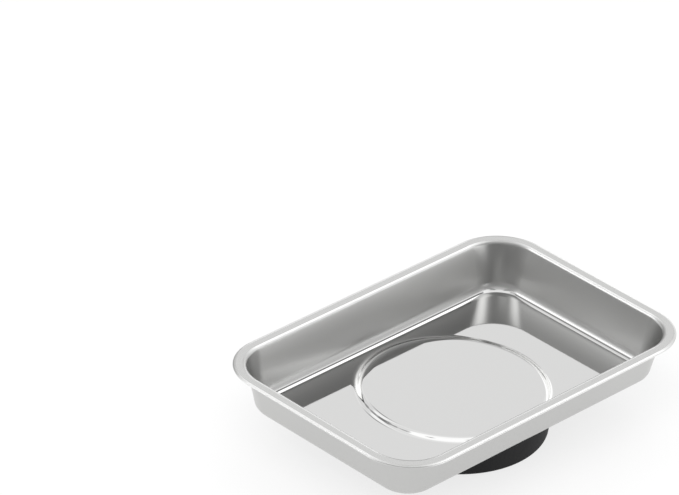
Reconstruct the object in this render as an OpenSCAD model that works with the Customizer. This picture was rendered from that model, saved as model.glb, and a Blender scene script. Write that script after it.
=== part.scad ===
// Magnetic parts tray: a pressed steel pan on a round rubber base that holds a ring magnet.
// Millimetres, +Z up, long side along X. The origin is the centre of the base's underside.

/* [Pan] */
// Outside length of the rim
tray_l = 140; // [120:1:240]
// Outside width of the rim
tray_w = 95; // [93:1:180]
// Corner radius of the rim's outer edge, seen from above
corner_r = 19; // [15:0.5:30]
// Depth from the top of the rim to the floor
tray_depth = 17.1; // [12:0.1:23]
// Thickness of the sheet
sheet_t = 0.6; // [0.4:0.02:1]
// Width of the rim, from its outer edge to where it bends down
rim_w = 3.4; // [2:0.1:4]
// Radius of the bend from the rim into the wall, on top
rim_bend_r = 1.5; // [1.2:0.1:2.5]
// Lean of the walls from upright, in degrees
wall_lean = 15; // [5:0.5:18]
// Radius of the bend from the wall into the floor, on top
floor_bend_r = 4; // [2:0.1:5]

/* [Raised step in the floor] */
// Height of the step
step_h = 1.2; // [0.8:0.05:1.6]
// Width of the step's slope, seen from above
step_slope_w = 2; // [1.8:0.1:3]
// Gap between the boot's side and the foot of the step, seen from above
step_margin = 0.25; // [0.1:0.05:1]

/* [Magnet] */
// Outside diameter of the ring magnet
magnet_d = 60; // [48:1:62]
// Bore of the ring magnet
magnet_bore_d = 32; // [16:1:36]
// Thickness of the ring magnet
magnet_h = 10; // [6:0.5:15]
// Thickness of the keeper plate on top of the magnet
keeper_h = 1.2; // [0.8:0.1:2]
// Thickness of the adhesive between the pan and the keeper plate
pan_bond_h = 0.4; // [0.2:0.05:0.6]
// Thickness of the adhesive between the magnet and the boot
boot_bond_h = 0.3; // [0.2:0.05:0.6]
// Distance that both layers of adhesive stop short of the edges they join
bond_margin = 0.5; // [0.2:0.1:2]

/* [Rubber boot] */
// Thickness of the boot's side
boot_wall = 3; // [2:0.1:4]
// Thickness of the boot's floor
boot_floor = 1.8; // [1.2:0.1:4]
// Gap between the magnet and the boot, all round and in the bore
boot_gap = 0.25; // [0.1:0.05:0.5]
// Radius of the boot's bottom edge
boot_edge_r = 1; // [0.3:0.1:1.5]
// Least width of the boot's flat top, inside its bevel
boot_lip = 0.6; // [0.3:0.1:1]
// Gap between the boot's top and the pan
seat_gap = 0.15; // [0.05:0.05:0.3]
// Height of the collar that centres the magnet on the boot's floor
collar_h = 4; // [2:0.5:5]
// Thickness of the collar
collar_wall = 2.2; // [1.5:0.1:4]

/* [Hidden] */
$fn = 96;
arc_steps = 8;

// Heights, from the floor that the tray stands on
magnet_z = boot_floor + boot_bond_h;
keeper_z = magnet_z + magnet_h;
pan_bond_z = keeper_z + keeper_h;
step_under_z = pan_bond_z + pan_bond_h;
step_top_z = step_under_z + sheet_t;
floor_z = step_top_z - step_h;
rim_z = floor_z + tray_depth;

// Radii of the round pieces
magnet_r = magnet_d / 2;
bore_r = magnet_bore_d / 2;
boot_inner_r = magnet_r + boot_gap;
boot_r = boot_inner_r + boot_wall;
collar_r = bore_r - boot_gap;
step_r = boot_r + step_margin;
// The step's slope is two equal arcs, one out of the floor and one into the top
step_turn = 2 * atan(step_h / step_slope_w);
step_bend_r = step_slope_w / (2 * sin(step_turn));
step_top_r = step_r - step_slope_w;

// How far the floor's edge lies in from the rim's outer edge
bends_r = rim_bend_r + floor_bend_r;
bends_drop = bends_r * (1 - sin(wall_lean));
floor_inset = rim_w + bends_r * cos(wall_lean) + (tray_depth - bends_drop) * tan(wall_lean);
floor_corner_r = corner_r - floor_inset;
// Centres of the rim's corners
corner_x = tray_l / 2 - corner_r;
corner_y = tray_w / 2 - corner_r;

// Points on an arc round [x, y], both ends included
function arc(x, y, r, from, to) = [
    for (i = [0:arc_steps])
        let (a = from + (to - from) * i / arc_steps)
            [x + r * cos(a), y + r * sin(a)]
];

// Section of the sheet from the rim's edge to the floor; x counts from a corner's centre
module wall_section() {
    edge_r = sheet_t / 2;
    rim_bend_x = corner_r - rim_w;
    rim_bend_z = rim_z - rim_bend_r;
    floor_bend_z = floor_z + floor_bend_r;
    polygon(concat(
        arc(corner_r - edge_r, rim_z - edge_r, edge_r, -90, 90),
        arc(rim_bend_x, rim_bend_z, rim_bend_r, 90, 180 - wall_lean),
        arc(floor_corner_r, floor_bend_z, floor_bend_r, -wall_lean, -90),
        arc(floor_corner_r, floor_bend_z, floor_bend_r + sheet_t, -90, -wall_lean),
        arc(rim_bend_x, rim_bend_z, rim_bend_r - sheet_t, 180 - wall_lean, 90)
    ));
}

// The rim and walls: four straight sides and four corners of the same section
module walls() {
    for (side = [0:3]) {
        reach = side % 2 == 0 ? corner_x : corner_y;
        run = side % 2 == 0 ? 2 * corner_y : 2 * corner_x;
        rotate(90 * side)
            translate([reach, run / 2, 0])
                rotate([90, 0, 0])
                    linear_extrude(run)
                        wall_section();
    }
    centres = [[1, 1], [-1, 1], [-1, -1], [1, -1]];
    for (corner = [0:3])
        translate([centres[corner].x * corner_x, centres[corner].y * corner_y, 0])
            rotate(90 * corner)
                rotate_extrude(angle = 90)
                    wall_section();
}

// The flat floor between the bends, open where the step rises
module flat_floor() {
    translate([0, 0, floor_z - sheet_t])
        linear_extrude(sheet_t)
            difference() {
                union() {
                    square([2 * (corner_x + floor_corner_r), 2 * corner_y], center = true);
                    square([2 * corner_x, 2 * (corner_y + floor_corner_r)], center = true);
                    for (x = [-corner_x, corner_x], y = [-corner_y, corner_y])
                        translate([x, y])
                            circle(floor_corner_r);
                }
                circle(step_r);
            }
}

// The raised step: its slope and its flat top, turned round the middle of the tray
module raised_step() {
    crest_z = step_top_z - step_bend_r;
    foot_z = floor_z + step_bend_r;
    rotate_extrude()
        polygon(concat(
            [[0, step_under_z], [0, step_top_z]],
            arc(step_top_r, crest_z, step_bend_r, 90, 90 - step_turn),
            arc(step_r, foot_z, step_bend_r, 270 - step_turn, 270),
            arc(step_r, foot_z, step_bend_r + sheet_t, 270, 270 - step_turn),
            arc(step_top_r, crest_z, step_bend_r - sheet_t, 90 - step_turn, 90)
        ));
}

module pan() {
    color("lightgray") {
        walls();
        flat_floor();
        raised_step();
    }
}

// Flat disc of adhesive under the step
module pan_bond() {
    color("ivory")
        translate([0, 0, pan_bond_z])
            cylinder(h = pan_bond_h, r = magnet_r - bond_margin);
}

module keeper_plate() {
    color("silver")
        translate([0, 0, keeper_z])
            cylinder(h = keeper_h, r = magnet_r);
}

module ring_magnet() {
    color("dimgray")
        translate([0, 0, magnet_z])
            linear_extrude(magnet_h)
                difference() {
                    circle(magnet_r);
                    circle(bore_r);
                }
}

// Flat ring of adhesive between the magnet and the boot's floor
module boot_bond() {
    color("ivory")
        translate([0, 0, boot_floor])
            linear_extrude(boot_bond_h)
                difference() {
                    circle(magnet_r - bond_margin);
                    circle(bore_r + bond_margin);
                }
}

// Cup round the magnet; its top is bevelled to lie in the recess under the step
module rubber_boot() {
    // The bevel keeps clear of the underside of the step's slope
    full_bevel_w = step_slope_w + max(0, sheet_t - step_margin);
    bevel_w = min(full_bevel_w, boot_wall - boot_lip);
    bevel_h = step_h * bevel_w / full_bevel_w;
    shoulder_z = floor_z - sheet_t - seat_gap;
    top_z = shoulder_z + bevel_h;
    color([0.12, 0.12, 0.12])
        rotate_extrude()
            polygon(concat(
                [[0, 0]],
                arc(boot_r - boot_edge_r, boot_edge_r, boot_edge_r, -90, 0),
                [[boot_r, shoulder_z], [boot_r - bevel_w, top_z], [boot_inner_r, top_z]],
                [[boot_inner_r, boot_floor], [collar_r, boot_floor]],
                [[collar_r, boot_floor + collar_h], [collar_r - collar_wall, boot_floor + collar_h]],
                [[collar_r - collar_wall, boot_floor], [0, boot_floor]]
            ));
}

pan();
pan_bond();
keeper_plate();
ring_magnet();
boot_bond();
rubber_boot();
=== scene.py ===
"""Looks of a magnetic parts tray: a pressed stainless pan on a round rubber base, on a white table."""
import math
from collections import namedtuple

import bpy
from mathutils import Matrix, Vector


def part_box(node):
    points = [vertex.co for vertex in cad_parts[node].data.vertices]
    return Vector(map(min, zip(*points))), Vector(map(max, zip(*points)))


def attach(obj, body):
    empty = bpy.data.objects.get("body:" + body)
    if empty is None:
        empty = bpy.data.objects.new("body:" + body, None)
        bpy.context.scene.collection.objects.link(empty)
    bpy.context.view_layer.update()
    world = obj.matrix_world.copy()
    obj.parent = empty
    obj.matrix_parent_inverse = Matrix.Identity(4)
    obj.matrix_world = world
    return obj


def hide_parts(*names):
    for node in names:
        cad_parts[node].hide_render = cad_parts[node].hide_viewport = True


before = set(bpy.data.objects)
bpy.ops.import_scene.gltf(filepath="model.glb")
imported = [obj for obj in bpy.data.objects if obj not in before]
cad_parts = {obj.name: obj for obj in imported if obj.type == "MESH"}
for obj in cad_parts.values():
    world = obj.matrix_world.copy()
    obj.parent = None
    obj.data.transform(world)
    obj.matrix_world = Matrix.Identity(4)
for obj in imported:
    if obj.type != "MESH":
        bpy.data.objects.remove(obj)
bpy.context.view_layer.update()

MM = 0.001


def sin_deg(angle):
    return math.sin(math.radians(angle))


def cos_deg(angle):
    return math.cos(math.radians(angle))


# Sizes that the frame's boxes give, in metres
pan_low, pan_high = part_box("pan")
boot_low, boot_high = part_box("rubber_boot")
TRAY_L = pan_high[0] - pan_low[0]
TRAY_W = pan_high[1] - pan_low[1]
RIM_Z = pan_high[2]
UNDER_Z = pan_low[2]
BOOT_R = boot_high[0]
BOOT_UNDER_Z = boot_low[2]
BOOT_TOP_Z = boot_high[2]

# Sizes of the pressing; leans are in degrees from upright
SHEET = 0.6 * MM
CORNER_R = 19 * MM
RIM_W = 3.4 * MM
RIM_BEND_R = 1.5 * MM
FLOOR_BEND_R = 4 * MM
WALL_LEAN = 15
WALL_BOW = 4
STEP_H = 1.2 * MM
STEP_SLOPE_W = 2 * MM
STEP_MARGIN = 0.25 * MM
EDGE_ROLL_W = 1.0 * MM
EDGE_ROLL_H = 0.46 * MM
EDGE_LOW_R = 0.12 * MM
FLOOR_Z = UNDER_Z + SHEET
STEP_Z = FLOOR_Z + STEP_H
STEP_MID_R = BOOT_R + STEP_MARGIN - STEP_SLOPE_W / 2

# The step's edge is soft: its slope is two arcs, which two flatter arcs ease into the top and the floor.
# Each arc turns to the angle given here, in degrees.
STEP_TURN = 33
STEP_EASE = 5
CREST_EASE_R = 26 * MM
FOOT_EASE_R = 12 * MM
EASED_H = (CREST_EASE_R + FOOT_EASE_R) * (1 - cos_deg(STEP_EASE))
STEP_BEND_R = (STEP_H - EASED_H) / (2 * (cos_deg(STEP_EASE) - cos_deg(STEP_TURN)))
HALF_SLOPE_W = STEP_BEND_R * (sin_deg(STEP_TURN) - sin_deg(STEP_EASE))
STEP_TOP_R = STEP_MID_R - HALF_SLOPE_W - CREST_EASE_R * sin_deg(STEP_EASE)
STEP_R = STEP_MID_R + HALF_SLOPE_W + FOOT_EASE_R * sin_deg(STEP_EASE)

# The wall is slightly bowed: a wide arc that leans less at the floor's bend than at the rim's
LOW_LEAN = WALL_LEAN - WALL_BOW
HIGH_LEAN = WALL_LEAN + WALL_BOW
BENDS_H = RIM_BEND_R * (1 - sin_deg(HIGH_LEAN)) + FLOOR_BEND_R * (1 - sin_deg(LOW_LEAN))
WALL_H = RIM_Z - FLOOR_Z - BENDS_H
WALL_R = WALL_H / (sin_deg(HIGH_LEAN) - sin_deg(LOW_LEAN))
WALL_RUN = WALL_R * (cos_deg(LOW_LEAN) - cos_deg(HIGH_LEAN))
BENDS_RUN = RIM_BEND_R * cos_deg(HIGH_LEAN) + FLOOR_BEND_R * cos_deg(LOW_LEAN)
FLOOR_INSET = RIM_W + WALL_RUN + BENDS_RUN

# Sizes of the rubber boot
BOOT_WALL = 3 * MM
BOOT_FLOOR = 1.8 * MM
BOOT_GAP = 0.25 * MM
BOOT_EDGE_R = 1 * MM
BOOT_SOFT_R = 0.25 * MM
BOOT_LIP_R = 0.2 * MM
BEVEL_W = 2.35 * MM
BEVEL_H = 1.2 * MM
BORE_R = 16 * MM
COLLAR_H = 4 * MM
COLLAR_WALL = 2.2 * MM

# Rows this close to a bend keep the flat beside it flat
SUPPORT = 0.05 * MM
BOOT_SUPPORT = 0.02 * MM

# Rows and columns closer than this become one, where the sweep closes
SEAM = 0.002 * MM

# A finish says how satin the steel is, how far its colour is lightened as a painted highlight, and how far
# it is darkened in the corners as painted shade
Finish = namedtuple("Finish", "satin shine drawn", defaults=(0.0, 0.0, 0.0))
# The second value is a painted highlight on bends, edges, walls and the step's slope; the third is painted
# shade
POLISHED = Finish()
SLOPE_EDGE = Finish(shine=0.1)
SLOPE_MIDDLE = Finish(shine=0.6)
POLISH_LAST = Finish(drawn=0.3)
SATIN_FIRST = Finish(satin=0.2, shine=0.04, drawn=0.3)
SATIN_WHOLE = Finish(satin=1.0, shine=0.2, drawn=0.5)
WALL = Finish(satin=1.0, shine=0.2, drawn=1.0)
WALL_LAST = Finish(satin=1.0, shine=0.2, drawn=0.8)
RIM_HIGHLIGHT_FIRST = Finish(satin=1.0, shine=1.0, drawn=0.7)
RIM_HIGHLIGHT_LAST = Finish(satin=0.96, shine=1.0)
RIM_FLAT = Finish(satin=0.5)
RIM_ROLL = Finish(satin=0.95, shine=1.0)
SHEARED = Finish(shine=1.0)
UNDERSIDE = Finish(satin=1.0)

# Where the finish changes on the bends, in degrees of their arcs
POLISH_END = -57
SATIN_START = -44
# Where the painted highlight starts on the rim's bend
RIM_HIGHLIGHT_START = 147

# A row is one point of a section. A plain row lies its reach in from the rim's edge all round, and a round
# row its reach out from the middle. The spread says how far out a plain row lies on the flat blank.
Row = namedtuple("Row", "reach round height spread satin shine drawn")
PLAIN = 0.0
ROUND = 1.0


class Wire:
    """A node tree's socket that Python arithmetic can be done on; each operation adds a Math node."""

    def __init__(self, tree, socket=None):
        self.tree = tree
        self.socket = socket

    def node(self, kind, inputs=None, out=0, **settings):
        """Adds a node with these settings, sets or links its inputs, and returns one of its outputs."""
        made = self.tree.nodes.new(kind)
        for name, value in settings.items():
            setattr(made, name, value)
        for key, value in (inputs or {}).items():
            socket = self.find(made.inputs, key)
            if isinstance(value, Wire):
                self.tree.links.new(value.socket, socket)
            else:
                socket.default_value = value
        return Wire(self.tree, self.find(made.outputs, out))

    @staticmethod
    def find(sockets, key):
        """The socket with this place, identifier or name."""
        if isinstance(key, int):
            return sockets[key]
        return next(socket for socket in sockets if key in (socket.identifier, socket.name))

    def math(self, operation, *others):
        return self.node("ShaderNodeMath", dict(enumerate((self, *others))), operation=operation)

    def __add__(self, other):
        return self.math("ADD", other)

    def __radd__(self, other):
        return self.math("ADD", other)

    def __sub__(self, other):
        return self.math("SUBTRACT", other)

    def __rsub__(self, other):
        return self.node("ShaderNodeMath", {0: other, 1: self}, operation="SUBTRACT")

    def __mul__(self, other):
        return self.math("MULTIPLY", other)

    def __rmul__(self, other):
        return self.math("MULTIPLY", other)

    def __truediv__(self, other):
        return self.math("DIVIDE", other)

    def __rtruediv__(self, other):
        return self.node("ShaderNodeMath", {0: other, 1: self}, operation="DIVIDE")

    def smooth(self, low, high):
        """0 below low, 1 above high, and a smooth rise between."""
        return self.node("ShaderNodeMapRange", {"Value": self, "From Min": low, "From Max": high},
                         interpolation_type="SMOOTHSTEP")

    def mix(self, low, high):
        """Mixes two values by this factor."""
        return low + (high - low) * self

    def mix_colour(self, low, high):
        """Mixes two colours by this factor."""
        return self.node("ShaderNodeMix", {"Factor_Float": self, "A_Color": low, "B_Color": high},
                         out="Result_Color", data_type="RGBA")


# Sweep: one Geometry Nodes tree makes both shells from their sections

def sweep_tree():
    """Tree that sweeps a section's rows round a rounded rectangle, or round circles where a row says so."""
    tree = bpy.data.node_groups.new("swept_section", "GeometryNodeTree")
    face = tree.interface
    face.new_socket("Section", in_out="INPUT", socket_type="NodeSocketGeometry")
    for name in ("Length", "Width", "Corner Radius", "Floor Inset", "Corner Steps", "Side Steps"):
        face.new_socket(name, in_out="INPUT", socket_type="NodeSocketFloat")
    face.new_socket("Material", in_out="INPUT", socket_type="NodeSocketMaterial")
    face.new_socket("Shell", in_out="OUTPUT", socket_type="NodeSocketGeometry")
    given = tree.nodes.new("NodeGroupInput")
    wire = Wire(tree)

    def entry(name):
        return Wire(tree, given.outputs[name])

    def field(name):
        """Value that the section holds for each point's row."""
        value = wire.node("GeometryNodeInputNamedAttribute", {"Name": name}, data_type="FLOAT")
        return wire.node("GeometryNodeSampleIndex", {"Geometry": section, "Value": value, "Index": row},
                         data_type="FLOAT", domain="POINT")

    section = entry("Section")
    corner_steps, side_steps = entry("Corner Steps"), entry("Side Steps")
    corner_r, floor_inset = entry("Corner Radius"), entry("Floor Inset")
    rows = wire.node("GeometryNodeAttributeDomainSize", {"Geometry": section}, out="Point Count")
    quarter_steps = corner_steps + side_steps
    columns = quarter_steps * 4
    last_row = rows - 1
    grid = wire.node("GeometryNodeMeshGrid", {"Size X": columns, "Size Y": last_row,
                                              "Vertices X": columns + 1, "Vertices Y": rows}, out="Mesh")
    place = wire.node("GeometryNodeInputPosition")
    column = wire.node("ShaderNodeSeparateXYZ", {0: place}, out="X") + columns / 2
    row = wire.node("ShaderNodeSeparateXYZ", {0: place}, out="Y") + last_row / 2
    column, row = column.math("ROUND"), row.math("ROUND")

    # Where a column stands: it turns round a corner's centre, then slides to the next one
    quarter = ((column + 0.5) / quarter_steps).math("FLOOR")
    step = column - quarter * quarter_steps
    corner_share = step.math("MINIMUM", corner_steps) / corner_steps
    turn = (quarter + corner_share) * (math.pi / 2)
    slide = (step - corner_steps).math("MAXIMUM", 0.0) / side_steps
    reach_x = entry("Length") / 2 - corner_r
    reach_y = entry("Width") / 2 - corner_r

    def corner(number):
        angle = number * (math.pi / 2) + math.pi / 4
        return angle.math("COSINE").math("SIGN") * reach_x, angle.math("SINE").math("SIGN") * reach_y

    (x0, y0), (x1, y1) = corner(quarter), corner(quarter + 1)
    centre_x, centre_y = slide.mix(x0, x1), slide.mix(y0, y1)
    cos, sin = turn.math("COSINE"), turn.math("SINE")

    def outline(distance):
        return centre_x + cos * distance, centre_y + sin * distance

    floor_x, floor_y = outline(corner_r - floor_inset)
    floor_far = (floor_x * floor_x + floor_y * floor_y).math("SQRT")
    reach, roundness, height = field("reach"), field("round"), field("height")
    plain_x, plain_y = outline(corner_r - reach)
    round_x, round_y = floor_x / floor_far * reach, floor_y / floor_far * reach
    position = wire.node("ShaderNodeCombineXYZ", {
        "X": roundness.mix(plain_x, round_x), "Y": roundness.mix(plain_y, round_y), "Z": height})

    # The same place on the flat blank, before pressing, as a UV map
    blank_x, blank_y = outline(corner_r - floor_inset + field("spread"))
    blank = wire.node("ShaderNodeCombineXYZ", {
        "X": roundness.mix(blank_x, round_x), "Y": roundness.mix(blank_y, round_y)})
    mesh = wire.node("GeometryNodeStoreNamedAttribute", {"Geometry": grid, "Name": "blank", "Value": blank},
                     data_type="FLOAT2", domain="CORNER")

    # The finish: corners get painted shade and lose their painted highlight, most of all in their middle
    in_corner = (corner_share * math.pi).math("SINE") * (1 - roundness)
    finish = {"satin": field("satin"), "shine": field("shine") * (1 - in_corner),
              "drawn": field("drawn") * in_corner}
    for name, value in finish.items():
        mesh = wire.node("GeometryNodeStoreNamedAttribute",
                         {"Geometry": mesh, "Name": name, "Value": value},
                         data_type="FLOAT", domain="POINT")
    mesh = wire.node("GeometryNodeSetPosition", {"Geometry": mesh, "Position": position})
    mesh = wire.node("GeometryNodeMergeByDistance", {"Geometry": mesh, "Distance": SEAM})
    mesh = wire.node("GeometryNodeSetShadeSmooth", {"Geometry": mesh, "Shade Smooth": True})
    mesh = wire.node("GeometryNodeRealizeInstances", {"Geometry": mesh})
    mesh = wire.node("GeometryNodeSetMaterial", {"Geometry": mesh, "Material": entry("Material")})
    result = tree.nodes.new("NodeGroupOutput")
    tree.links.new(mesh.socket, result.inputs["Shell"])
    return tree


def swept(name, tree, rows, finish, **sizes):
    """Plain mesh object that the sweep tree makes from a section's rows."""
    points = bpy.data.meshes.new(name + "_section")
    points.from_pydata([(row.reach, 0.0, row.height) for row in rows], [], [])
    for field in Row._fields:
        values = points.attributes.new(field, "FLOAT", "POINT")
        values.data.foreach_set("value", [float(getattr(row, field)) for row in rows])
    points.materials.append(finish)
    holder = bpy.data.objects.new(name + "_section", points)
    bpy.context.scene.collection.objects.link(holder)
    modifier = holder.modifiers.new("sweep", "NODES")
    modifier.node_group = tree
    sockets = {item.name: item.identifier for item in tree.interface.items_tree if item.in_out == "INPUT"}
    modifier[sockets["Material"]] = finish
    for key, value in sizes.items():
        modifier[sockets[key.replace("_", " ")]] = float(value)
    graph = bpy.context.evaluated_depsgraph_get()
    mesh = bpy.data.meshes.new_from_object(holder.evaluated_get(graph), depsgraph=graph)
    mesh.name = name
    bpy.data.objects.remove(holder)
    made = bpy.data.objects.new(name, mesh)
    bpy.context.scene.collection.objects.link(made)
    return made


# Sections

def arc(x, z, r, start, end, steps):
    """Points on an arc round (x, z), both ends included; angles in degrees."""
    angles = [start + (end - start) * number / steps for number in range(steps + 1)]
    return [(x + r * cos_deg(angle), z + r * sin_deg(angle)) for angle in angles]


def rows_along(points, first, last=None, kind=PLAIN):
    """Rows through points of (reach, height); their finish changes evenly from the first to the last."""
    count = max(len(points) - 1, 1)
    rows = []
    for number, (reach, height) in enumerate(points):
        finish = [a + (b - a) * number / count for a, b in zip(first, last or first)]
        rows.append(Row(reach, kind, height, 0.0, *finish))
    return rows


def bend(inset, z, r, start, end, steps):
    """Arc whose reach is counted in from the rim's edge."""
    return [(inset - x, height) for x, height in arc(0, z, r, start, end, steps)]


def rim_bend(r, start, end, steps):
    return bend(RIM_W, RIM_Z - RIM_BEND_R, r, start, end, steps)


def floor_bend(r, start, end, steps):
    return bend(FLOOR_INSET, FLOOR_Z + FLOOR_BEND_R, r, start, end, steps)


def bowed_wall(below, steps=12):
    """Points on the wall, this far below its upper side, without the ends, which the bends hold."""
    foot_reach = FLOOR_INSET - FLOOR_BEND_R * cos_deg(LOW_LEAN)
    foot_z = FLOOR_Z + FLOOR_BEND_R - FLOOR_BEND_R * sin_deg(LOW_LEAN)
    points = []
    for number in range(1, steps):
        lean = LOW_LEAN + (HIGH_LEAN - LOW_LEAN) * number / steps
        reach = foot_reach - WALL_R * (cos_deg(LOW_LEAN) - cos_deg(lean))
        height = foot_z + WALL_R * (sin_deg(lean) - sin_deg(LOW_LEAN))
        points.append((reach - below * cos_deg(lean), height - below * sin_deg(lean)))
    return points


def step_top(z):
    """Points on the step's flat top, from the middle out."""
    shares = (0.0, 0.25, 0.5, 0.75)
    return [(STEP_TOP_R * share, z) for share in shares] + [(STEP_TOP_R - SUPPORT, z)]


def step_arcs(below, steps):
    """The step's four arcs, from its flat top out to the flat floor; the points they share come once."""
    crest_x = STEP_TOP_R + (CREST_EASE_R - STEP_BEND_R) * sin_deg(STEP_EASE)
    crest_z = STEP_Z - CREST_EASE_R + (CREST_EASE_R - STEP_BEND_R) * cos_deg(STEP_EASE)
    foot_x = STEP_R - (FOOT_EASE_R - STEP_BEND_R) * sin_deg(STEP_EASE)
    foot_z = FLOOR_Z + FOOT_EASE_R - (FOOT_EASE_R - STEP_BEND_R) * cos_deg(STEP_EASE)
    return (arc(STEP_TOP_R, STEP_Z - CREST_EASE_R, CREST_EASE_R - below, 90, 90 - STEP_EASE, steps),
            arc(crest_x, crest_z, STEP_BEND_R - below, 90 - STEP_EASE, 90 - STEP_TURN, steps)[1:],
            arc(foot_x, foot_z, STEP_BEND_R + below, 270 - STEP_TURN, 270 - STEP_EASE, steps)[1:],
            arc(STEP_R, FLOOR_Z + FOOT_EASE_R, FOOT_EASE_R + below, 270 - STEP_EASE, 270, steps)[1:])


def upper_rows():
    """The sheet's upper side, from the middle of the step out to the rim's edge."""
    crest_ease, crest, foot, foot_ease = step_arcs(0.0, steps=10)
    rows = rows_along(step_top(STEP_Z) + crest_ease, POLISHED, kind=ROUND)
    rows += rows_along(crest, SLOPE_EDGE, SLOPE_MIDDLE, kind=ROUND)
    rows += rows_along(foot, SLOPE_MIDDLE, SLOPE_EDGE, kind=ROUND)
    rows += rows_along(foot_ease, POLISHED, kind=ROUND)

    polished = floor_bend(FLOOR_BEND_R, -90, POLISH_END, steps=12)
    changing = floor_bend(FLOOR_BEND_R, POLISH_END, SATIN_START, steps=5)
    satin = floor_bend(FLOOR_BEND_R, SATIN_START, -LOW_LEAN, steps=10)
    rows += rows_along([(FLOOR_INSET + SUPPORT, FLOOR_Z)], POLISHED)
    rows += rows_along(polished, POLISHED, POLISH_LAST)
    rows += rows_along(changing[1:], SATIN_FIRST, SATIN_WHOLE)
    rows += rows_along(satin[1:], SATIN_WHOLE, WALL)
    rows += rows_along(bowed_wall(0.0), WALL)

    low_rim = rim_bend(RIM_BEND_R, 180 - HIGH_LEAN, RIM_HIGHLIGHT_START, steps=4)
    # Painted highlight along the rim's bend
    highlighted_rim = rim_bend(RIM_BEND_R, RIM_HIGHLIGHT_START, 90, steps=13)
    rows += rows_along(low_rim, WALL, WALL_LAST)
    rows += rows_along(highlighted_rim[1:], RIM_HIGHLIGHT_FIRST, RIM_HIGHLIGHT_LAST)
    rows += rows_along([(RIM_W - SUPPORT, RIM_Z), (EDGE_ROLL_W + SUPPORT, RIM_Z)], RIM_FLAT)
    rolled = bend(EDGE_ROLL_H, RIM_Z - EDGE_ROLL_H, EDGE_ROLL_H, 90, 0, steps=14)
    rows += rows_along([(x * EDGE_ROLL_W / EDGE_ROLL_H, z) for x, z in rolled], RIM_ROLL)
    return rows


def lower_rows():
    """The sheet's underside, from the rim's edge back to the middle of the step."""
    rim_under_z = RIM_Z - SHEET
    rows = rows_along(bend(EDGE_LOW_R, rim_under_z + EDGE_LOW_R, EDGE_LOW_R, 0, -90, steps=5), SHEARED)
    under = [(EDGE_LOW_R + SUPPORT, rim_under_z), (RIM_W - SUPPORT, rim_under_z)]
    under += rim_bend(RIM_BEND_R - SHEET, 90, 180 - HIGH_LEAN, steps=10)
    under += bowed_wall(SHEET)[::-1]
    under += floor_bend(FLOOR_BEND_R + SHEET, -LOW_LEAN, -90, steps=16)
    under += [(FLOOR_INSET + SUPPORT, UNDER_Z)]
    rows += rows_along(under, UNDERSIDE)

    recess = step_top(STEP_Z - SHEET)
    for points in step_arcs(SHEET, steps=6):
        recess += points
    rows += rows_along(recess[::-1], POLISHED, kind=ROUND)
    return rows


def pan_rows():
    """Section of the sheet, underside first, so that its faces point outwards.

    The spread grows along the sheet from the floor's edge to the rim's edge, and shrinks back underneath.
    """
    upper = upper_rows()
    rows = upper + lower_rows()
    plain = [number for number, row in enumerate(rows) if row.round == PLAIN]
    spread = 0.0
    for before, number in zip(plain, plain[1:]):
        inner, outer = rows[before], rows[number]
        length = math.hypot(outer.reach - inner.reach, outer.height - inner.height)
        spread += length if number < len(upper) else -length
        rows[number] = outer._replace(spread=spread)
    return rows[::-1]


def boot_rows():
    """Section of the rubber boot, from the middle of its underside out, up and over into the cup."""
    soft = BOOT_SOFT_R
    edge_x = BOOT_R - BOOT_EDGE_R
    edge_z = BOOT_UNDER_Z + BOOT_EDGE_R
    cup_r = BOOT_R - BOOT_WALL
    cup_z = BOOT_UNDER_Z + BOOT_FLOOR
    bevel_r = BOOT_R - BEVEL_W
    bevel_slope = math.degrees(math.atan2(BEVEL_H, BEVEL_W))
    shoulder_z = BOOT_TOP_Z - BEVEL_H - soft * math.tan(math.radians((90 - bevel_slope) / 2))
    collar_r = BORE_R - BOOT_GAP
    collar_inner_r = collar_r - COLLAR_WALL
    collar_z = cup_z + COLLAR_H

    points = [(BOOT_R * share, BOOT_UNDER_Z) for share in (0.0, 0.3, 0.6, 0.9)]
    points += [(edge_x - BOOT_SUPPORT, BOOT_UNDER_Z)]
    points += arc(edge_x, edge_z, BOOT_EDGE_R, -90, 0, steps=12)
    points += [(BOOT_R, edge_z + BOOT_SUPPORT), (BOOT_R, shoulder_z - BOOT_SUPPORT)]
    points += arc(BOOT_R - soft, shoulder_z, soft, 0, 90 - bevel_slope, steps=8)
    points += [(bevel_r + SUPPORT, BOOT_TOP_Z - SUPPORT * BEVEL_H / BEVEL_W), (bevel_r, BOOT_TOP_Z)]
    points += arc(cup_r + BOOT_LIP_R, BOOT_TOP_Z - BOOT_LIP_R, BOOT_LIP_R, 90, 180, steps=6)
    points += [(cup_r, cup_z + soft)]
    points += arc(cup_r - soft, cup_z + soft, soft, 0, -90, steps=6)
    points += arc(collar_r + soft, cup_z + soft, soft, 270, 180, steps=6)
    points += arc(collar_r - soft, collar_z - soft, soft, 0, 90, steps=6)
    points += arc(collar_inner_r + soft, collar_z - soft, soft, 90, 180, steps=6)
    points += arc(collar_inner_r - soft, cup_z + soft, soft, 0, -90, steps=6)
    points += [(collar_inner_r * share, cup_z) for share in (0.6, 0.3, 0.0)]
    return rows_along(points, Finish(), kind=ROUND)


# Materials

MIRROR_STEEL = (0.69, 0.69, 0.685, 1)
SATIN_STEEL = (0.57, 0.57, 0.562, 1)
# Near-white colour for the painted highlight on bends and edges
HIGHLIGHT_STEEL = (0.95, 0.95, 0.945, 1)
# Black mixed into the corners as painted shade, up to the share below
CORNER_SHADE_COLOUR = (0, 0, 0, 1)
CORNER_SHADE_SHARE = 0.38
MIRROR_ROUGHNESS = 0.035
SATIN_ROUGHNESS = 0.3
ROLLING_GRAIN_SCALE = (60, 3200, 0)
ROLLING_GRAIN_DEPTH = 0.012

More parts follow.
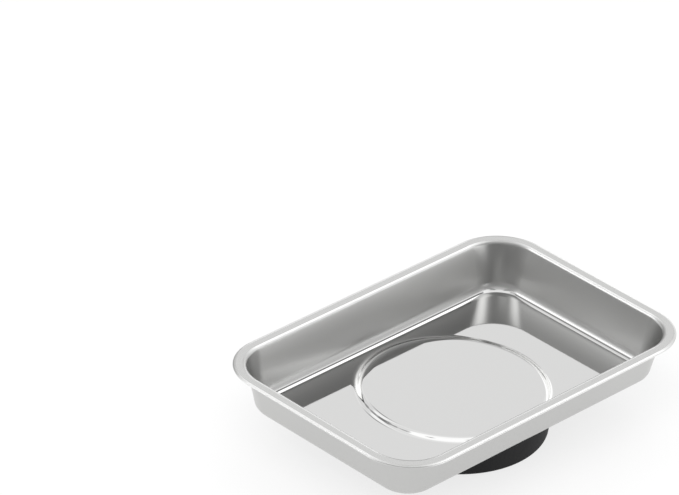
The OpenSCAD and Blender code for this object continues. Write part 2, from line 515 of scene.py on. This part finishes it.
DARK_RUBBER = (0.008, 0.008, 0.0085, 1)
LIGHT_RUBBER = (0.017, 0.017, 0.018, 1)
RUBBER_GRAIN_SCALE = 2600
RUBBER_CLOUD_SCALE = 90
RUBBER_CLOUD_SHARE = 0.7
RUBBER_GRAIN_H = 0.05 * MM
RUBBER_ROUGHNESS = 0.5
RUBBER_ROUGHNESS_SPREAD = 0.25

HIDDEN_ROUGHNESS_SPREAD = 0.2


def material(name):
    """New material with an empty tree; returns it and a wire in that tree."""
    made = bpy.data.materials.new(name)
    made.use_nodes = True
    made.node_tree.nodes.clear()
    return made, Wire(made.node_tree)


def finish_material(wire, shader):
    """Links the shader to the material's output."""
    output = wire.tree.nodes.new("ShaderNodeOutputMaterial")
    wire.tree.links.new(shader.socket, output.inputs["Surface"])


def noise(wire, place, scale, detail):
    return wire.node("ShaderNodeTexNoise", {"Vector": place, "Scale": scale, "Detail": detail})


def stretched_noise(wire, place, scale, detail):
    """Noise with a scale for each axis."""
    stretched = wire.node("ShaderNodeVectorMath", {0: place, 1: scale}, operation="MULTIPLY")
    return noise(wire, stretched, 1.0, detail)


def steel():
    """Bright sheet: mirror floor, satin walls, painted highlight on bends and edges, painted shade in the
    corners, faint grain.
    """
    made, wire = material("pressed_steel")
    satin, shine, drawn = (wire.node("ShaderNodeAttribute", out="Fac", attribute_name=name)
                           for name in Finish._fields)
    blank = wire.node("ShaderNodeUVMap", uv_map="blank")
    grain = stretched_noise(wire, blank, ROLLING_GRAIN_SCALE, detail=3.0)
    rough = satin.mix(MIRROR_ROUGHNESS, SATIN_ROUGHNESS) + (grain - 0.5) * ROLLING_GRAIN_DEPTH
    colour = satin.mix_colour(MIRROR_STEEL, SATIN_STEEL)
    # Painted highlight: colour raised towards near white
    colour = shine.mix_colour(colour, HIGHLIGHT_STEEL)
    # Painted shade: corners darkened towards black
    colour = (drawn * CORNER_SHADE_SHARE).mix_colour(colour, CORNER_SHADE_COLOUR)
    shader = wire.node("ShaderNodeBsdfPrincipled", {
        "Base Color": colour, "Metallic": 1.0, "Roughness": rough})
    finish_material(wire, shader)
    return made


def rubber():
    """Moulded black rubber: matt, with a fine grain."""
    made, wire = material("moulded_rubber")
    place = wire.node("ShaderNodeTexCoord", out="Object")
    grain = noise(wire, place, RUBBER_GRAIN_SCALE, detail=3.0)
    cloud = noise(wire, place, RUBBER_CLOUD_SCALE, detail=3.0)
    shade = cloud * RUBBER_CLOUD_SHARE + grain * (1 - RUBBER_CLOUD_SHARE)
    bump = wire.node("ShaderNodeBump", {"Strength": 0.25, "Distance": RUBBER_GRAIN_H, "Height": grain},
                     out="Normal")
    shader = wire.node("ShaderNodeBsdfPrincipled", {
        "Base Color": shade.mix_colour(DARK_RUBBER, LIGHT_RUBBER),
        "Roughness": RUBBER_ROUGHNESS + cloud * RUBBER_ROUGHNESS_SPREAD,
        "Specular IOR Level": 0.25, "Normal": bump})
    finish_material(wire, shader)
    return made


def cloudy_finish(name, dark, light, rough, metallic, scale):
    """Material of a hidden piece: two shades mixed by a cloudy noise."""
    made, wire = material(name)
    place = wire.node("ShaderNodeTexCoord", out="Object")
    cloud = stretched_noise(wire, place, scale, detail=4.0)
    shader = wire.node("ShaderNodeBsdfPrincipled", {
        "Base Color": cloud.mix_colour((*dark, 1), (*light, 1)), "Metallic": metallic,
        "Roughness": rough + (cloud - 0.5) * HIDDEN_ROUGHNESS_SPREAD})
    finish_material(wire, shader)
    return made


# The object

sweep = sweep_tree()
pan = swept("pressed_pan", sweep, pan_rows(), steel(), Length=TRAY_L, Width=TRAY_W, Corner_Radius=CORNER_R,
            Floor_Inset=FLOOR_INSET, Corner_Steps=28, Side_Steps=56)
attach(pan, "root")
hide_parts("pan")

boot = swept("moulded_boot", sweep, boot_rows(), rubber(), Length=2 * BOOT_R, Width=2 * BOOT_R,
             Corner_Radius=BOOT_R, Floor_Inset=0.0, Corner_Steps=64, Side_Steps=1)
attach(boot, "root")
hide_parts("rubber_boot")

ferrite = cloudy_finish("ground_ferrite", dark=(0.03, 0.03, 0.034), light=(0.07, 0.07, 0.075),
                        rough=0.6, metallic=0.0, scale=(900, 60, 900))
zinc = cloudy_finish("zinc_plate", dark=(0.5, 0.51, 0.53), light=(0.66, 0.66, 0.66),
                     rough=0.3, metallic=1.0, scale=(300, 300, 300))
glue = cloudy_finish("cured_adhesive", dark=(0.62, 0.56, 0.42), light=(0.78, 0.74, 0.62),
                     rough=0.45, metallic=0.0, scale=(220, 220, 220))
hidden = {"ring_magnet": ferrite, "keeper_plate": zinc, "pan_bond": glue, "boot_bond": glue}
for node_name, finish in hidden.items():
    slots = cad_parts[node_name].data.materials
    slots.clear()
    slots.append(finish)


# Table, light and camera

TABLE_HALF = 6.0
TABLE_Z = -0.02 * MM
TABLE_PAINT = (0.92, 0.92, 0.92, 1)
TABLE_SEEN_WHITE = 0.75
WHITE = (1, 1, 1, 1)

# Camera: angles in degrees, places in metres, lens and sensor in millimetres
CAMERA_AZIMUTH = -45.637
CAMERA_ELEVATION = 30.935
CAMERA_ROLL = 2.924
CAMERA_DISTANCE = 1832.3 * MM
CAMERA_AIM = Vector((15.0 * MM, 72.26 * MM, RIM_Z))
CAMERA_LENS = 279.0
CAMERA_SENSOR = 36.0

# Lamps: place in metres and power in watts
LAMPS = {"key": ((-0.5, -0.3, 1.1), 6.0), "fill": ((0.7, 0.5, 0.9), 3.0)}
LAMP_AIM = (0, 0, 0.02)
LAMP_SIZE = 0.9

# Brightness of the room by direction, in degrees: azimuth from and to, elevation from and to, level.
# Azimuth counts from straight behind the tray as the camera stands, right positive. The room is 1 where
# no patch lies, and a later patch covers the earlier ones. What reflections find comes first, and then
# what reflections of reflections find, with softer edges.
FIRST_SEEN = (
    (-180, 180, 68, 90, 1.2),
    (100, 180, 14, 80, 0.5),
    (-180, -100, 14, 80, 0.5),
    (140, 180, 45, 80, 0.85),
    (-180, -140, 45, 80, 0.85),
    (-42, 9, -5, 26, 0.7),
    (-42, -9, -5, 14, 0.45),
    (10, 36, 2, 28, 1.4),
    (-62, -18, 27, 45, 0.85),
    (-90, -22, 55, 68, 0.9),
    (15, 110, 55, 68, 1.3),
    (6, 11, 38.5, 44, 0.1),
    (-11, -6, 38.5, 44, 0.1),
    (15.5, 50, 45.5, 54, 1.7),
    (-50, -15.5, 45.5, 54, 1.15),
    (51, 66, 46, 57, 0.2),
    (-66, -51, 46, 57, 0.25),
    (67, 77, 45, 50, 1.1),
    (77, 97, 14, 45, 0.65),
    (-88.5, -68, 34, 50, 2.0),
    (-101, -90, 6, 31, 0.3),
    (84, 100, -5, 13, 0.6),
    (100, 140, -5, 20, 1.95),
    (135, 180, -5, 14, 0.35),
    (-180, -84, -5, 9, 0.2),
    (-46, -27, 25, 33, 0.08),
    (-51, -43, 33, 39, 0.35),
    (-59, -49, 39, 46, 0.35),
    (-74, -64, 53, 61, 0.4),
    (-82, -72, 61, 68, 0.5),
)
LATER_SEEN = (
    (-180, 180, -90, 90, 0.68),
    (-50, 50, -5, 45, 0.7),
    (-180, 180, 62, 90, 0.5),
    (50, 85, -5, 30, 0.5),
    (-95, -50, -5, 30, 0.5),
    (-180, -145, 34, 56, 1.5),
    (150, 180, 28, 44, 0.4),
    (-180, -130, -5, 20, 0.55),
    (130, 180, -5, 20, 0.55),
    (38, 84, 36, 68, 0.05),
    (-86, -52, 36, 64, 0.22),
    (50, 84, 60, 72, 1.3),
    (86, 97, 40, 72, 2.0),
    (97, 128, 38, 70, 2.8),
    (-125, -87, 24, 62, 2.2),
)
FIRST_EDGE = 1.5
LATER_EDGE = 5.0
ROOM_LEVEL = 1.0
DIFFUSE_LEVEL = 0.8

# Glossy depth of what reflections find; reflections of reflections have more
FIRST_DEPTH = 1


def table():
    """White table that keeps a soft shadow, looks white in reflections and is clear from below."""
    mesh = bpy.data.meshes.new("table")
    corners = [(-1, -1), (1, -1), (1, 1), (-1, 1)]
    mesh.from_pydata([(x * TABLE_HALF, y * TABLE_HALF, TABLE_Z) for x, y in corners], [], [(0, 1, 2, 3)])
    made = bpy.data.objects.new("table", mesh)
    bpy.context.scene.collection.objects.link(made)
    finish, wire = material("white_table")
    camera_ray = wire.node("ShaderNodeLightPath", out="Is Camera Ray")
    glossy_ray = wire.node("ShaderNodeLightPath", out="Is Glossy Ray")
    clear_ray = wire.node("ShaderNodeLightPath", out="Is Transmission Ray")
    seen = (camera_ray + glossy_ray + clear_ray).math("MINIMUM", 1.0)
    paint = wire.node("ShaderNodeBsdfDiffuse", {"Color": TABLE_PAINT})
    glow = wire.node("ShaderNodeEmission", {"Color": WHITE, "Strength": 1.0})
    top = wire.node("ShaderNodeMixShader", {0: seen * TABLE_SEEN_WHITE, 1: paint, 2: glow})
    from_below = wire.node("ShaderNodeNewGeometry", out="Backfacing")
    clear = wire.node("ShaderNodeBsdfTransparent")
    finish_material(wire, wire.node("ShaderNodeMixShader", {0: from_below, 1: top, 2: clear}))
    mesh.materials.append(finish)


def surround():
    """White room with soft boxes and dark gaps, which only shiny surfaces see; all else finds it even."""
    world = bpy.data.worlds.new("surround")
    bpy.context.scene.world = world
    world.use_nodes = True
    tree = world.node_tree
    tree.nodes.clear()
    wire = Wire(tree)
    way = wire.node("ShaderNodeTexCoord", out="Generated")
    x, y, z = (wire.node("ShaderNodeSeparateXYZ", {0: way}, out=axis) for axis in "XYZ")
    ahead = cos_deg(CAMERA_AZIMUTH) * y - sin_deg(CAMERA_AZIMUTH) * x
    side = cos_deg(CAMERA_AZIMUTH) * x + sin_deg(CAMERA_AZIMUTH) * y
    azimuth = side.math("ARCTAN2", ahead) * (180 / math.pi)
    elevation = z.math("ARCSINE") * (180 / math.pi)

    def between(value, low, high, edge):
        return value.smooth(low - edge, low + edge) * (1 - value.smooth(high - edge, high + edge))

    def room(patches, edge):
        """Level of the room; a patch that reaches right behind the camera or overhead has no edge there."""
        level = ROOM_LEVEL
        for az_low, az_high, el_low, el_high, patch_level in patches:
            left = az_low - 2 * edge if az_low == -180 else az_low
            right = az_high + 2 * edge if az_high == 180 else az_high
            top = el_high + 2 * edge if el_high == 90 else el_high
            mask = between(azimuth, left, right, edge) * between(elevation, el_low, top, edge)
            level = mask.mix(level, patch_level)
        return level

    bounces = wire.node("ShaderNodeLightPath", out="Glossy Depth")
    later = bounces.math("GREATER_THAN", FIRST_DEPTH + 0.5)
    mirrored = later.mix(room(FIRST_SEEN, FIRST_EDGE), room(LATER_SEEN, LATER_EDGE))
    glossy = wire.node("ShaderNodeLightPath", out="Is Glossy Ray")
    seen = wire.node("ShaderNodeLightPath", out="Is Camera Ray")
    strength = seen.mix(glossy.mix(DIFFUSE_LEVEL, mirrored), ROOM_LEVEL)
    light = wire.node("ShaderNodeBackground", {"Color": WHITE, "Strength": strength})
    output = tree.nodes.new("ShaderNodeOutputWorld")
    tree.links.new(light.socket, output.inputs["Surface"])


def softbox(name, place, power):
    """Square lamp aimed at the tray, which shiny surfaces don't show."""
    lamp = bpy.data.lights.new(name, "AREA")
    lamp.shape = "SQUARE"
    lamp.size = LAMP_SIZE
    lamp.energy = power
    made = bpy.data.objects.new(name, lamp)
    bpy.context.scene.collection.objects.link(made)
    made.location = place
    made.rotation_euler = (Vector(LAMP_AIM) - Vector(place)).to_track_quat("-Z", "Y").to_euler()
    made.visible_glossy = False


def camera():
    """Long lens from the front left, aimed past the tray so that it sits low and right in the picture."""
    level = Vector((cos_deg(CAMERA_AZIMUTH), sin_deg(CAMERA_AZIMUTH), 0.0))
    back = Vector((sin_deg(CAMERA_AZIMUTH) * cos_deg(CAMERA_ELEVATION),
                   -cos_deg(CAMERA_AZIMUTH) * cos_deg(CAMERA_ELEVATION), sin_deg(CAMERA_ELEVATION)))
    upright = back.cross(level)
    right = level * cos_deg(CAMERA_ROLL) + upright * sin_deg(CAMERA_ROLL)
    up = upright * cos_deg(CAMERA_ROLL) - level * sin_deg(CAMERA_ROLL)
    lens = bpy.data.cameras.new("camera")
    lens.sensor_width = CAMERA_SENSOR
    lens.lens = CAMERA_LENS
    lens.clip_start = 0.05
    lens.clip_end = 100.0
    made = bpy.data.objects.new("camera", lens)
    bpy.context.scene.collection.objects.link(made)
    turned = Matrix((right, up, back)).transposed().to_4x4()
    made.matrix_world = Matrix.Translation(CAMERA_AIM + back * CAMERA_DISTANCE) @ turned
    bpy.context.scene.camera = made


table()
surround()
for lamp_name, (lamp_place, lamp_power) in LAMPS.items():
    softbox(lamp_name, lamp_place, lamp_power)
camera()
bpy.context.scene.view_settings.view_transform = "Standard"
